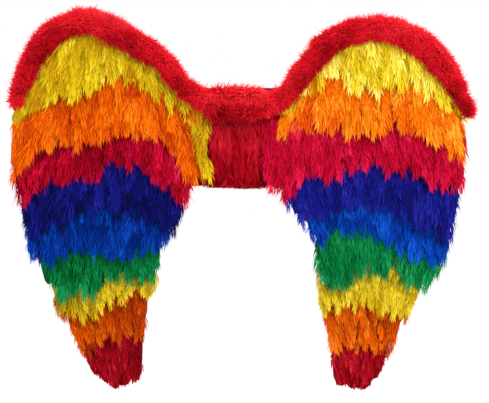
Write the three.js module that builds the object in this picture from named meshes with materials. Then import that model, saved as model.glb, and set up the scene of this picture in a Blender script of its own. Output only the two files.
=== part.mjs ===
// A pair of feathered costume wings joined by a furry centre panel, worn on the back with two elastic loops.
//
// Millimetres, +Z up. +X runs along the span and -Y is the feathered face that is seen from behind the wearer.
// The origin is the middle of the centre board's rear face, which lies against the wearer's back.
//
// Each wing is a flat cut board that carries nine rows of feathers, laid like roof tiles from the tip upwards,
// and a roll of marabou along its leading edge. A row is a strip of pointed locks fused at their roots.

import * as THREE from "three";
import { mergeVertices } from "three/addons/utils/BufferGeometryUtils.js";

// Driving dimensions of the boards
const CENTRE_WIDTH = 110; // from the left wing's seam to the right wing's
const CENTRE_HEIGHT = 130;
const WING_SPAN = 254; // from a wing's seam to its furthest feather
const WING_HEIGHT = 510; // from the top of the leading edge to the lowest feather tip
const WING_RISE = 174; // top of the leading edge above the middle of the centre board
const BOARD_THICKNESS = 3;
const BOARD_LAP = 25; // how far the centre board reaches behind each wing board
const BOARD_CORNER = 14; // corner radius of the centre board
const BOARD_INSET = 11; // board edge inside the feather tips
const CLEARANCE = 0.3; // between touching pieces

// Driving dimensions of the feather rows
const ROW_SLOPE = 0.21; // rise of a row away from its board for each millimetre down from its root
const ROW_OVERLAP = 28; // how far a row's root is tucked up behind the tips of the row above
const ROW_CLEARANCE = 1.1; // air between one row and the next
const ROW_THICKNESS = 8.5; // fluff of a row at the crest of a lock
const LEAST_THICKNESS = 1.3; // of a row where the rows lie close
const ROOT_THICKNESS = 3.4;
const ROOT_INSET = 5; // the root strip stops this far inside the tips of the row above
const ROOT_BLEND = 12; // length over which a root line climbs where the row above has ended
const ROW_FAN = 20; // how far a row's feathers lean in from its root at either end
const LOCK_DROP = 24; // from a notch between two locks down to their tips
const LOWEST_LOCK_RISE = 22; // from the lowest feather tip up to the end of its board
const STRIP_BLEND = 14; // width over which the low feathers beside the seam rise to the rest of their row

// Driving dimensions of the marabou roll along the leading edge
const TRIM_WIDTH = 36;
const TRIM_DEPTH = 29;
const TRIM_FLAT = 4; // depth of the roll that is pressed flat where it is glued to the board
const TRIM_GAP = 1; // between the roll and the root of the first row
const TRIM_TUFT = 0.16; // depth of the twisted furrows, as a share of the roll's radius
const TRIM_PLUMP = 0.1; // how much of its full depth the roll keeps, over its share of the width, where it tapers
const TWIST_LENGTH = 46; // length of roll for one turn of its furrows
const TRIM_STEP = 14; // spacing of the roll's sections
const TRIM_SIDES = 10;
const TRIM_HOLD = 0.25; // share of the roll's width that lies on the board outside its middle line

// Driving dimensions of the centre fur and the elastic loops
const FUR_THICKNESS = 14;
const FUR_LOCK_DROP = 7;
const FUR_LOCKS = 7;
const STRAP_WIDTH = 25;
const STRAP_THICKNESS = 1.8;
const STRAP_REACH = 150; // from the centre board to the far side of a loop
const STRAP_INSET = 21.5; // from the side of the centre board to the outer edge of a loop
const STRAP_TOP = 50; // upper sewn end above the middle of the centre board
const STRAP_BOTTOM = 52; // lower sewn end below it
const STRAP_TAB = 20; // length sewn flat to the board
const STRAP_SHOULDER = 12; // how far the loop climbs above its upper end

const FEATHER_ROUGHNESS = 0.85;
const COLOURS = {
  marabou: 0xd40a1c,
  yellow: 0xe8cf1a,
  orange: 0xf07a06,
  crimson: 0xb8061f,
  navy: 0x1a1478,
  blue: 0x0a36b4,
  green: 0x077a3e,
  gold: 0xdcb414,
  amber: 0xdb5a05,
  ruby: 0xa4051a,
  felt: 0x8d0f1c,
  elastic: 0x17171a,
};

// Where the heights in a row's tip line are taken, as shares of the span from the seam outwards
const STATIONS = { atSeam: 0.1, atInner: 0.27, atMiddle: 0.43, atOuter: 0.6, atFar: 0.8, atRim: 1.0 };

// Middle line of each wing's roll from the seam to its outer end. Across is a share of the span, down a share of
// the wing's height from the top of the leading edge, and width a share of the roll's width.
const LEFT_TRIM = [
  { across: -0.052, down: 0.25, width: 0.95 },
  { across: 0.06, down: 0.214, width: 0.9 },
  { across: 0.19, down: 0.137, width: 0.87 },
  { across: 0.31, down: 0.101, width: 1.05 },
  { across: 0.461, down: 0.055, width: 1.05 },
  { across: 0.586, down: 0.036, width: 1.03 },
  { across: 0.71, down: 0.052, width: 1.0 },
  { across: 0.825, down: 0.097, width: 1.0 },
  { across: 0.893, down: 0.155, width: 0.85 },
  { across: 0.935, down: 0.207, width: 0.75 },
  { across: 0.965, down: 0.262, width: 0.55 },
];
const RIGHT_TRIM = [
  { across: -0.115, down: 0.262, width: 0.95 },
  { across: 0.0, down: 0.232, width: 0.85 },
  { across: 0.09, down: 0.175, width: 0.92 },
  { across: 0.24, down: 0.092, width: 1.05 },
  { across: 0.393, down: 0.061, width: 1.0 },
  { across: 0.545, down: 0.057, width: 1.02 },
  { across: 0.67, down: 0.081, width: 1.12 },
  { across: 0.765, down: 0.115, width: 1.12 },
  { across: 0.858, down: 0.167, width: 0.95 },
  { across: 0.925, down: 0.225, width: 0.74 },
  { across: 0.985, down: 0.287, width: 0.5 },
];

// The rows from the leading edge down to the tip. Inner and outer are where the row's tips end, as shares of the
// span. The heights at the stations are its tip line, as shares of the wing's height. A strip is where its feathers
// hang lower beside the seam: how far out it reaches, and the heights of its tips at its start and its end. A drop
// makes blunter locks, as a share of the usual one.
const LEFT_ROWS = [
  { name: "yellow", locks: 13, inner: -0.058, outer: 0.99, strip: { to: 0.045, start: 0.46, end: 0.465 },
    atSeam: 0.29, atInner: 0.24, atMiddle: 0.204, atOuter: 0.256, atFar: 0.277, atRim: 0.332 },
  { name: "orange", locks: 13, inner: -0.03, outer: 0.99, strip: { to: 0.14, start: 0.48, end: 0.44 },
    atSeam: 0.39, atInner: 0.342, atMiddle: 0.366, atOuter: 0.376, atFar: 0.386, atRim: 0.465 },
  { name: "crimson", locks: 12, inner: 0.057, outer: 0.955,
    atSeam: 0.53, atInner: 0.439, atMiddle: 0.418, atOuter: 0.465, atFar: 0.48, atRim: 0.565 },
  { name: "navy", locks: 11, inner: 0.105, outer: 0.92,
    atSeam: 0.606, atInner: 0.556, atMiddle: 0.535, atOuter: 0.548, atFar: 0.587, atRim: 0.627 },
  { name: "blue", locks: 10, inner: 0.168, outer: 0.9,
    atSeam: 0.65, atInner: 0.642, atMiddle: 0.655, atOuter: 0.642, atFar: 0.668, atRim: 0.684 },
  { name: "green", locks: 8, inner: 0.205, outer: 0.8,
    atSeam: 0.718, atInner: 0.715, atMiddle: 0.708, atOuter: 0.742, atFar: 0.752, atRim: 0.75 },
  { name: "gold", locks: 7, inner: 0.23, outer: 0.755,
    atSeam: 0.765, atInner: 0.767, atMiddle: 0.788, atOuter: 0.828, atFar: 0.8, atRim: 0.79 },
  { name: "amber", locks: 6, inner: 0.275, outer: 0.66,
    atSeam: 0.862, atInner: 0.876, atMiddle: 0.856, atOuter: 0.9, atFar: 0.84, atRim: 0.82 },
  { name: "ruby", locks: 5, drop: 0.4, inner: 0.292, outer: 0.575,
    atSeam: 0.9, atInner: 0.955, atMiddle: 0.993, atOuter: 0.925, atFar: 0.86, atRim: 0.85 },
];
const RIGHT_ROWS = [
  { name: "yellow", locks: 12, inner: 0, outer: 0.975, strip: { to: 0.04, start: 0.31, end: 0.29 },
    atSeam: 0.253, atInner: 0.204, atMiddle: 0.256, atOuter: 0.225, atFar: 0.266, atRim: 0.345 },
  { name: "orange", locks: 12, inner: -0.018, outer: 0.97, strip: { to: 0.05, start: 0.375, end: 0.37 },
    atSeam: 0.342, atInner: 0.334, atMiddle: 0.352, atOuter: 0.345, atFar: 0.371, atRim: 0.428 },
  { name: "crimson", locks: 13, inner: -0.115, outer: 0.945, strip: { to: 0.097, start: 0.485, end: 0.54 },
    atSeam: 0.434, atInner: 0.454, atMiddle: 0.423, atOuter: 0.444, atFar: 0.47, atRim: 0.512 },
  { name: "navy", locks: 11, inner: 0.058, outer: 0.895,
    atSeam: 0.574, atInner: 0.535, atMiddle: 0.522, atOuter: 0.554, atFar: 0.606, atRim: 0.611 },
  { name: "blue", locks: 9, inner: 0.15, outer: 0.865,
    atSeam: 0.668, atInner: 0.59, atMiddle: 0.59, atOuter: 0.637, atFar: 0.672, atRim: 0.64 },
  { name: "green", locks: 8, inner: 0.18, outer: 0.778,
    atSeam: 0.762, atInner: 0.736, atMiddle: 0.694, atOuter: 0.7, atFar: 0.765, atRim: 0.768 },
  { name: "gold", locks: 6, inner: 0.2, outer: 0.69,
    atSeam: 0.825, atInner: 0.804, atMiddle: 0.789, atOuter: 0.828, atFar: 0.82, atRim: 0.81 },
  { name: "amber", locks: 5, inner: 0.23, outer: 0.585,
    atSeam: 0.888, atInner: 0.888, atMiddle: 0.883, atOuter: 0.888, atFar: 0.885, atRim: 0.872 },
  { name: "ruby", locks: 4, drop: 0.4, inner: 0.258, outer: 0.525,
    atSeam: 0.9, atInner: 0.98, atMiddle: 0.992, atOuter: 0.895, atFar: 0.84, atRim: 0.82 },
];

// Sections down a row from its root at 0 to its tips at 1, each with its thickness as a share of the row's own
const ROW_SECTIONS = [
  { down: 0, thickness: null },
  { down: 0.38, thickness: 1.0 },
  { down: 0.74, thickness: 0.86 },
  { down: 1, thickness: 0.3 },
];

// Columns across one lock, each with its place in the lock, its share of the lock's drop and its share of the
// row's thickness
const LOCK_COLUMNS = [
  { across: 0, drop: 0, thickness: 0.42 },
  { across: 0.42, drop: 1, thickness: 1.0 },
  { across: 0.74, drop: 0.62, thickness: 0.8 },
];

// How far below the row's tip line each lock in turn ends, as a share of the drop
const LOCK_LENGTHS = [0.52, 0.3, 0.62, 0.42, 0.7, 0.26, 0.5, 0.36];

// The loop of elastic from its upper sewn end round to its lower one. Out is a share of the reach, and up a share
// of the climb above the upper end or, below the middle, of the depth to the lower end.
const STRAP_BENDS = [
  { out: 0.12, up: 0.55 },
  { out: 0.42, up: 1 },
  { out: 0.78, up: 0.45 },
  { out: 1, up: -0.05 },
  { out: 0.82, up: -0.72 },
  { out: 0.44, up: -1 },
  { out: 0.12, up: -0.98 },
];

const WING_BACK = BOARD_THICKNESS + CLEARANCE; // rear face of a wing board, in front of the centre board
const WING_FRONT = WING_BACK + BOARD_THICKNESS;
const ROOT_STEP = (LEAST_THICKNESS + ROW_CLEARANCE) / ROW_SLOPE; // least drop from one row's root to the next

function material(colour) {
  return new THREE.MeshStandardMaterial({ color: COLOURS[colour], roughness: FEATHER_ROUGHNESS, metalness: 0 });
}

function named(name, geometry, colour) {
  const mesh = new THREE.Mesh(geometry, material(colour));
  mesh.name = name;
  return mesh;
}

// A closed solid lofted through rings of points that all have the same number of corners, with a fan of triangles
// round the middle of each end.
function lofted(rings) {
  const corners = rings[0].length;
  const points = rings.flat();
  const faces = [];
  for (let ring = 0; ring + 1 < rings.length; ring++) {
    for (let corner = 0; corner < corners; corner++) {
      const a = ring * corners + corner;
      const b = ring * corners + ((corner + 1) % corners);
      faces.push(a, b, b + corners, a, b + corners, a + corners);
    }
  }
  const last = (rings.length - 1) * corners;
  const middle = (ring) => ring.reduce((sum, point) => sum.add(point), new THREE.Vector3()).divideScalar(corners);
  const start = points.length;
  points.push(middle(rings[0]), middle(rings[rings.length - 1]));
  for (let corner = 0; corner < corners; corner++) {
    const next = (corner + 1) % corners;
    faces.push(start, next, corner, start + 1, last + corner, last + next);
  }
  return facingOut(points, faces);
}

// A geometry whose triangles face out of the solid that they close.
function facingOut(points, faces) {
  let volume = 0;
  for (let i = 0; i < faces.length; i += 3) {
    const [a, b, c] = faces.slice(i, i + 3).map((index) => points[index]);
    volume += a.dot(new THREE.Vector3().crossVectors(b, c));
  }
  const turned = volume < 0 ? [...faces].reverse() : faces;
  const geometry = new THREE.BufferGeometry().setFromPoints(points);
  geometry.setIndex(turned);
  return mergeVertices(geometry);
}

// A smooth line through points of rising x, given as a function of x, level beyond its ends.
function smoothLine(points) {
  const slope = (i) => {
    const before = points[Math.max(i - 1, 0)];
    const after = points[Math.min(i + 1, points.length - 1)];
    return (after.z - before.z) / (after.x - before.x);
  };
  return (x) => {
    if (x <= points[0].x) return points[0].z;
    const next = points.findIndex((point) => point.x > x);
    if (next < 0) return points[points.length - 1].z;
    const [a, b] = [points[next - 1], points[next]];
    const width = b.x - a.x;
    const t = (x - a.x) / width;
    const [t2, t3] = [t * t, t * t * t];
    return (
      (2 * t3 - 3 * t2 + 1) * a.z +
      (t3 - 2 * t2 + t) * width * slope(next - 1) +
      (3 * t2 - 2 * t3) * b.z +
      (t3 - t2) * width * slope(next)
    );
  };
}

// A line of straight stretches as a function of x, level beyond its ends.
function straightLine(points) {
  return (x) => {
    if (x <= points[0].x) return points[0].z;
    const next = points.findIndex((point) => point.x > x);
    if (next < 0) return points[points.length - 1].z;
    const [a, b] = [points[next - 1], points[next]];
    return THREE.MathUtils.mapLinear(x, a.x, b.x, a.z, b.z);
  };
}

const heightOf = (down) => WING_RISE - down * WING_HEIGHT;
const lockDrop = (row) => (row.drop ?? 1) * LOCK_DROP;

// The roll's middle line as evenly spaced stations with the direction that faces the wing and the roll's width
// there. Its end at the seam is upright, where it meets the roll of the centre.
function trimStations(table) {
  const curve = new THREE.CatmullRomCurve3(
    table.map(({ across, down, width }) => new THREE.Vector3(across * WING_SPAN, width * TRIM_WIDTH, heightOf(down))),
    false,
    "centripetal",
  );
  const count = Math.round(curve.getLength() / TRIM_STEP);
  return Array.from({ length: count + 1 }, (_, i) => {
    const at = curve.getPointAt(i / count);
    const ahead = i === 0 ? new THREE.Vector3(1, 0, 0) : curve.getTangentAt(i / count).setY(0).normalize();
    const inward = new THREE.Vector3(ahead.z, 0, -ahead.x);
    return { middle: new THREE.Vector3(at.x, 0, at.z), inward, width: at.y, along: i * TRIM_STEP };
  });
}

// The place that lies a share of the roll's width, and a fixed distance, inside a station's middle.
const insideOf = ({ middle, inward, width }, share, distance) =>
  middle.clone().addScaledVector(inward, share * width + distance);

// One section of the roll: an oval flattened against the board, with furrows that turn as the roll goes along.
function trimRing({ middle, inward, width, along }) {
  const depth = (TRIM_DEPTH + TRIM_FLAT) * Math.min(1, width / TRIM_WIDTH + TRIM_PLUMP);
  return Array.from({ length: TRIM_SIDES }, (_, side) => {
    const angle = (side / TRIM_SIDES) * 2 * Math.PI;
    const turn = 2 * angle + (along / TWIST_LENGTH) * 2 * Math.PI;
    const radius = 1 - TRIM_TUFT * (0.5 + 0.5 * Math.cos(turn));
    const height = Math.max(0, 0.5 * depth * (1 - radius * Math.sin(angle)) - TRIM_FLAT);
    return middle
      .clone()
      .addScaledVector(inward, 0.5 * width * radius * Math.cos(angle))
      .setY(-CLEARANCE - height);
  });
}

// A row's tip line as a function of the distance from the seam.
function tipLine(row) {
  const places = Object.entries(STATIONS).map(([key, share]) => ({ x: share * WING_SPAN, z: heightOf(row[key]) }));
  const level = smoothLine(places);
  if (!row.strip) return level;
  const end = row.strip.to * WING_SPAN;
  const strip = straightLine([
    { x: row.inner * WING_SPAN, z: heightOf(row.strip.start) },
    { x: end, z: heightOf(row.strip.end) },
  ]);
  return (x) => THREE.MathUtils.lerp(strip(x), level(x), THREE.MathUtils.smoothstep(x, end - STRIP_BLEND, end));
}

// The rows with their root and tip lines, each root tucked up behind the tips of the row above. Where the row
// above has ended, the root climbs to where that row's own root is.
function laidRows(rows, stations) {
  const firstRoot = straightLine(
    stations.map((station) => insideOf(station, 0.5, TRIM_GAP)).sort((a, b) => a.x - b.x),
  );
  let above = null;
  return rows.map((row) => {
    const tip = tipLine(row);
    const behind = above;
    const root = behind
      ? (x) => {
          const share = THREE.MathUtils.smoothstep(x, behind.inner - ROOT_BLEND, behind.inner);
          const tucked = Math.min(behind.tip(x) + ROW_OVERLAP, behind.root(x) - ROOT_STEP);
          return THREE.MathUtils.lerp(behind.root(x), tucked, share);
        }
      : firstRoot;
    const inner = row.inner * WING_SPAN;
    const outer = row.outer * WING_SPAN;
    const laid = {
      ...row,
      root,
      tip,
      inner,
      outer,
      rootInner: Math.min(inner, Math.max(behind ? behind.inner : inner, inner - ROW_FAN)) + ROOT_INSET,
      rootOuter: Math.max(outer, Math.min(behind ? behind.outer : outer, outer + ROW_FAN)) - ROOT_INSET,
      thickness: (x) => {
        const room = behind ? ROW_SLOPE * (behind.root(x) - root(x)) - ROW_CLEARANCE : ROW_THICKNESS;
        return THREE.MathUtils.clamp(room, LEAST_THICKNESS, ROW_THICKNESS);
      },
    };
    above = laid;
    return laid;
  });
}

// The solid of one row: columns of points across its locks, each with a front and a rear face that rise away from
// the board the further they hang below the root.
function rowGeometry(row, slope, drop) {
  const columns = [];
  for (let lock = 0; lock < row.locks; lock++) {
    LOCK_COLUMNS.forEach((column) => columns.push({ ...column, lock }));
  }
  columns.push({ ...LOCK_COLUMNS[0], lock: row.locks - 1, across: 1 });
  const rings = columns.map((column) => {
    const share = (column.lock + column.across) / row.locks;
    const top = THREE.MathUtils.lerp(row.rootInner, row.rootOuter, share);
    const bottom = THREE.MathUtils.lerp(row.inner, row.outer, share);
    const length = LOCK_LENGTHS[column.lock % LOCK_LENGTHS.length];
    const tip = row.tip(bottom) + drop * (1 - length) - drop * column.drop;
    const places = ROW_SECTIONS.map((section) => {
      const x = THREE.MathUtils.lerp(top, bottom, section.down);
      const z = THREE.MathUtils.lerp(row.root(top), tip, section.down);
      const rear = CLEARANCE + Math.max(0, slope * (row.root(x) - z));
      const full = row.thickness(x);
      const thickness =
        section.thickness === null
          ? Math.min(ROOT_THICKNESS, full)
          : Math.max(LEAST_THICKNESS * section.thickness, full * section.thickness * column.thickness);
      return { x, z, rear, thickness };
    });
    const front = places.map(({ x, z, rear, thickness }) => new THREE.Vector3(x, -rear - thickness, z));
    const back = places.map(({ x, z, rear }) => new THREE.Vector3(x, -rear, z)).reverse();
    return [...front, ...back];
  });
  return lofted(rings);
}

// A flat board from its outline in the XZ plane, with its rear face at y 0.
function boardGeometry(outline) {
  const shape = new THREE.Shape(outline.map(({ x, z }) => new THREE.Vector2(x, z)));
  const geometry = new THREE.ExtrudeGeometry(shape, { depth: BOARD_THICKNESS, bevelEnabled: false });
  return geometry.rotateX(Math.PI / 2);
}

// The wing board follows the middle of the roll along its leading edge, and the ends of the rows down its sides.
// It stops at the seam.
function wingOutline(rows, stations) {
  const leading = stations.map((station) => insideOf(station, -TRIM_HOLD, 0)).filter(({ x }) => x > 0);
  const side = (end, inset) =>
    rows.slice(0, -1).map((row) => {
      const x = Math.max(row[end] + inset, 0);
      return { x, z: row.tip(x) + LOCK_DROP / 2 };
    });
  const lowest = rows[rows.length - 1];
  const tipMiddle = (lowest.inner + lowest.outer) / 2;
  const tip = { x: tipMiddle, z: lowest.tip(tipMiddle) + LOWEST_LOCK_RISE };
  return [...leading, ...side("outer", -BOARD_INSET), tip, ...side("inner", BOARD_INSET).reverse()];
}

// One wing in its own frame: x outwards from the seam, y 0 at the front face of its board.
function wing(side, rowTable, trimTable) {
  const group = new THREE.Group();
  const stations = trimStations(trimTable);
  const rows = laidRows(rowTable, stations);
  const board = named(`${side}_wing_board`, boardGeometry(wingOutline(rows, stations)), "felt");
  board.position.y = BOARD_THICKNESS;
  group.add(board);
  rows.forEach((row) =>
    group.add(named(`${side}_${row.name}_feathers`, rowGeometry(row, ROW_SLOPE, lockDrop(row)), row.name)),
  );
  group.add(named(`${side}_marabou_trim`, lofted(stations.map(trimRing)), "marabou"));
  group.position.y = -WING_FRONT;
  return group;
}

// A rectangle with rounded corners about the origin.
function roundedRectangle(width, height, radius) {
  const [x, z] = [width / 2, height / 2];
  const shape = new THREE.Shape();
  shape.absarc(x - radius, z - radius, radius, 0, Math.PI / 2);
  shape.absarc(radius - x, z - radius, radius, Math.PI / 2, Math.PI);
  shape.absarc(radius - x, radius - z, radius, Math.PI, 1.5 * Math.PI);
  shape.absarc(x - radius, radius - z, radius, 1.5 * Math.PI, 2 * Math.PI);
  return shape.getPoints(4).map((point) => ({ x: point.x, z: point.y }));
}

// One elastic loop: a ribbon that is sewn flat to the board at both ends and stands out between them.
function strapGeometry() {
  const flat = CLEARANCE + STRAP_THICKNESS / 2;
  const ends = [
    new THREE.Vector2(flat, STRAP_TOP - STRAP_TAB),
    new THREE.Vector2(flat, STRAP_TOP),
    new THREE.Vector2(flat, -STRAP_BOTTOM),
    new THREE.Vector2(flat, STRAP_TAB - STRAP_BOTTOM),
  ];
  const bends = STRAP_BENDS.map(
    ({ out, up }) =>
      new THREE.Vector2(flat + out * (STRAP_REACH - flat), up > 0 ? STRAP_TOP + up * STRAP_SHOULDER : up * STRAP_BOTTOM),
  );
  const curve = new THREE.SplineCurve([ends[1], ...bends, ends[2]]);
  const line = [ends[0], ...curve.getPoints(4 * (bends.length + 1)), ends[3]];
  const half = STRAP_THICKNESS / 2;
  const offset = (distance) =>
    line.map((point, i) => {
      const ahead = line[Math.min(i + 1, line.length - 1)].clone().sub(line[Math.max(i - 1, 0)]).normalize();
      return new THREE.Vector2(point.x - ahead.y * distance, point.y + ahead.x * distance);
    });
  const shape = new THREE.Shape([...offset(half), ...offset(-half).reverse()]);
  const geometry = new THREE.ExtrudeGeometry(shape, { depth: STRAP_WIDTH, bevelEnabled: false });
  // The shape's plane becomes YZ and its depth X
  const turn = new THREE.Matrix4().makeBasis(
    new THREE.Vector3(0, 1, 0),
    new THREE.Vector3(0, 0, 1),
    new THREE.Vector3(1, 0, 0),
  );
  return geometry.applyMatrix4(turn).translate(-STRAP_WIDTH / 2, 0, 0);
}

// The furry centre: its board, the fur between the two wings, the roll of marabou along its top and the loops.
function centre() {
  const group = new THREE.Group();
  const reach = (rows) => CENTRE_WIDTH / 2 + Math.min(...rows.map((row) => row.inner)) * WING_SPAN - ROW_CLEARANCE;
  const [left, right] = [-reach(LEFT_ROWS), reach(RIGHT_ROWS)];

  const outline = roundedRectangle(CENTRE_WIDTH + 2 * BOARD_LAP, CENTRE_HEIGHT, BOARD_CORNER);
  group.add(named("centre_board", boardGeometry(outline), "felt"));

  const rollMiddle = CENTRE_HEIGHT / 2 - TRIM_WIDTH / 2;
  const fur = {
    locks: FUR_LOCKS,
    inner: left,
    outer: right,
    rootInner: left,
    rootOuter: right,
    root: () => rollMiddle - TRIM_WIDTH / 2 - TRIM_GAP,
    tip: () => FUR_LOCK_DROP / 2 - CENTRE_HEIGHT / 2,
    thickness: () => FUR_THICKNESS,
  };
  const furMesh = named("centre_fur", rowGeometry(fur, 0, FUR_LOCK_DROP), "marabou");
  furMesh.position.y = -BOARD_THICKNESS;
  group.add(furMesh);

  const rollReach = (table) => CENTRE_WIDTH / 2 + table[0].across * WING_SPAN - CLEARANCE;
  const [rollLeft, rollRight] = [-rollReach(LEFT_TRIM), rollReach(RIGHT_TRIM)];
  const steps = Math.round((rollRight - rollLeft) / TRIM_STEP);
  const stations = Array.from({ length: steps + 1 }, (_, i) => ({
    middle: new THREE.Vector3(THREE.MathUtils.lerp(rollLeft, rollRight, i / steps), 0, rollMiddle),
    inward: new THREE.Vector3(0, 0, -1),
    width: TRIM_WIDTH,
    along: i * TRIM_STEP,
  }));
  const roll = named("centre_marabou_trim", lofted(stations.map(trimRing)), "marabou");
  roll.position.y = -BOARD_THICKNESS;
  group.add(roll);

  for (const [name, side] of [["left_shoulder_strap", -1], ["right_shoulder_strap", 1]]) {
    const strap = named(name, strapGeometry(), "elastic");
    strap.position.x = side * (CENTRE_WIDTH / 2 + BOARD_LAP - STRAP_INSET - STRAP_WIDTH / 2);
    group.add(strap);
  }
  return group;
}

const wings = new THREE.Group();
const leftWing = wing("left", LEFT_ROWS, LEFT_TRIM);
leftWing.scale.x = -1;
leftWing.position.x = -CENTRE_WIDTH / 2;
const rightWing = wing("right", RIGHT_ROWS, RIGHT_TRIM);
rightWing.position.x = CENTRE_WIDTH / 2;
wings.add(centre(), leftWing, rightWing);

export default wings;
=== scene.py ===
"""Feathered costume wings in rainbow rows, joined by a furry centre and worn with two elastic loops."""

import logging
import math
from dataclasses import dataclass, field, replace
from enum import Enum
from functools import lru_cache
from typing import ClassVar, Iterable, Sequence

import bmesh
import bpy
import numpy as np
from mathutils import Matrix, Vector
from mathutils.bvhtree import BVHTree


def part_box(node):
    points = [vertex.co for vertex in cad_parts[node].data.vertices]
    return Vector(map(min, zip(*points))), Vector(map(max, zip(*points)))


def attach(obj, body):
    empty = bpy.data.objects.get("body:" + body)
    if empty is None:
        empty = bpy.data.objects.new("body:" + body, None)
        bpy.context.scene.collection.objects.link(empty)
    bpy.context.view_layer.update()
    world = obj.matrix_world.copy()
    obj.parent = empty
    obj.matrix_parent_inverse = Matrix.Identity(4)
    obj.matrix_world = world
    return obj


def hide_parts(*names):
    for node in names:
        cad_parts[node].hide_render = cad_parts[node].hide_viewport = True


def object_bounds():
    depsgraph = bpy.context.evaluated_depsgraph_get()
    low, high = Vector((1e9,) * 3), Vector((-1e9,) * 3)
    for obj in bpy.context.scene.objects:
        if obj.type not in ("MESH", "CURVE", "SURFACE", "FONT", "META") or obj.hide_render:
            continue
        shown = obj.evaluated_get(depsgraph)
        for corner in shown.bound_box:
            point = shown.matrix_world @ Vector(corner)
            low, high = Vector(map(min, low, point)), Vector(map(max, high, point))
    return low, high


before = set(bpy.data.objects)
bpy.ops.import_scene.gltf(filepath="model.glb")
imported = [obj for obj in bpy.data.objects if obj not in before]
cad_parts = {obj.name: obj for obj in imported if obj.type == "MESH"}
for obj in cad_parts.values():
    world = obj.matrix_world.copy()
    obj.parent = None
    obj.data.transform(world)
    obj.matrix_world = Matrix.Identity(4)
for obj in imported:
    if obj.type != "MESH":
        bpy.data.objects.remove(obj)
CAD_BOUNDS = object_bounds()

log = logging.getLogger("wings")

BODY = "root"
DOWN_MAP = "OFBake"  # the map on every feathered piece: root to tip across it, and shade up it
SEED = 41

# The photograph's frame: its size, the pixel that shows the origin and the real size of a pixel
PHOTO_WIDTH = 489
PHOTO_HEIGHT = 403
ORIGIN_PIXEL = (241.0, 137.0)
PIXEL = 0.00133


class Side(Enum):
    """The wing on each side, as its nodes are named."""

    LEFT = "left"
    RIGHT = "right"


Colour = tuple[float, float, float, float]


def linear(red: int, green: int, blue: int) -> Colour:
    """A colour as the shader takes it.

    Args:
        red: Red from 0 to 255, as a screen shows it.
        green: Green from 0 to 255.
        blue: Blue from 0 to 255.

    Returns:
        The linear colour with an alpha of 1.
    """

    def channel(value: int) -> float:
        """One channel in linear light."""
        share = value / 255
        return share / 12.92 if share <= 0.04045 else ((share + 0.055) / 1.055) ** 2.4

    return (channel(red), channel(green), channel(blue), 1.0)


WHITE = linear(255, 255, 255)


class Wiring:
    """A new material with its nodes, all of which lead to one shader."""

    def __init__(self, name: str) -> None:
        """Starts the material."""
        self.material = bpy.data.materials.new(name)
        self.material.use_nodes = True
        self.tree = self.material.node_tree

    def join(self, node: bpy.types.Node, inputs: dict[str | int, object]) -> None:
        """Links a node's sockets to other nodes, or sets them.

        Args:
            node: The node.
            inputs: A socket to link from, or a value to set, for each input.
        """
        for name, value in inputs.items():
            if isinstance(value, bpy.types.NodeSocket):
                self.tree.links.new(value, node.inputs[name])
            else:
                node.inputs[name].default_value = value

    def add(self, kind: str, inputs: dict[str | int, object], **settings: str) -> bpy.types.Node:
        """Adds a node.

        Args:
            kind: Its type, after the words ShaderNode.
            inputs: What goes into it, as join takes it.
            settings: Its own settings.

        Returns:
            The node.
        """
        node = self.tree.nodes.new(f"ShaderNode{kind}")
        for name, value in settings.items():
            setattr(node, name, value)
        self.join(node, inputs)
        return node

    def map(self, name: str) -> list[bpy.types.NodeSocket]:
        """The two directions of one of the piece's maps."""
        place = self.add("UVMap", {}, uv_map=name)
        return self.add("SeparateXYZ", {"Vector": place.outputs["UV"]}).outputs[:2]

    def ramp(
        self, share: bpy.types.NodeSocket, stops: Sequence[tuple[float, Colour]]
    ) -> bpy.types.NodeSocket:
        """Adds a run of colours.

        Args:
            share: What chooses among them, from 0 to 1.
            stops: Where each colour lies, in order.

        Returns:
            The chosen colour.
        """
        node = self.add("ValToRGB", {"Fac": share})
        elements = node.color_ramp.elements
        for index, (position, colour) in enumerate(stops):
            stop = elements[index] if index < 2 else elements.new(1.0)
            stop.position = position
            stop.color = colour
        return node.outputs["Color"]

    def bump(self, height: bpy.types.NodeSocket, strength: float, distance: float) -> bpy.types.NodeSocket:
        """Adds a low relief.

        Args:
            height: Its height at each place.
            strength: How much it shows.
            distance: The height of the value 1, in metres.

        Returns:
            The normals that it makes.
        """
        return self.add(
            "Bump", {"Strength": strength, "Distance": distance, "Height": height}
        ).outputs["Normal"]

    def finished(self, inputs: dict[str | int, object]) -> bpy.types.Material:
        """Sets the shader's sockets.

        Args:
            inputs: What goes into them, as join takes it.

        Returns:
            The material.
        """
        self.join(self.tree.nodes["Principled BSDF"], inputs)
        return self.material


# Finishes


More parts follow.
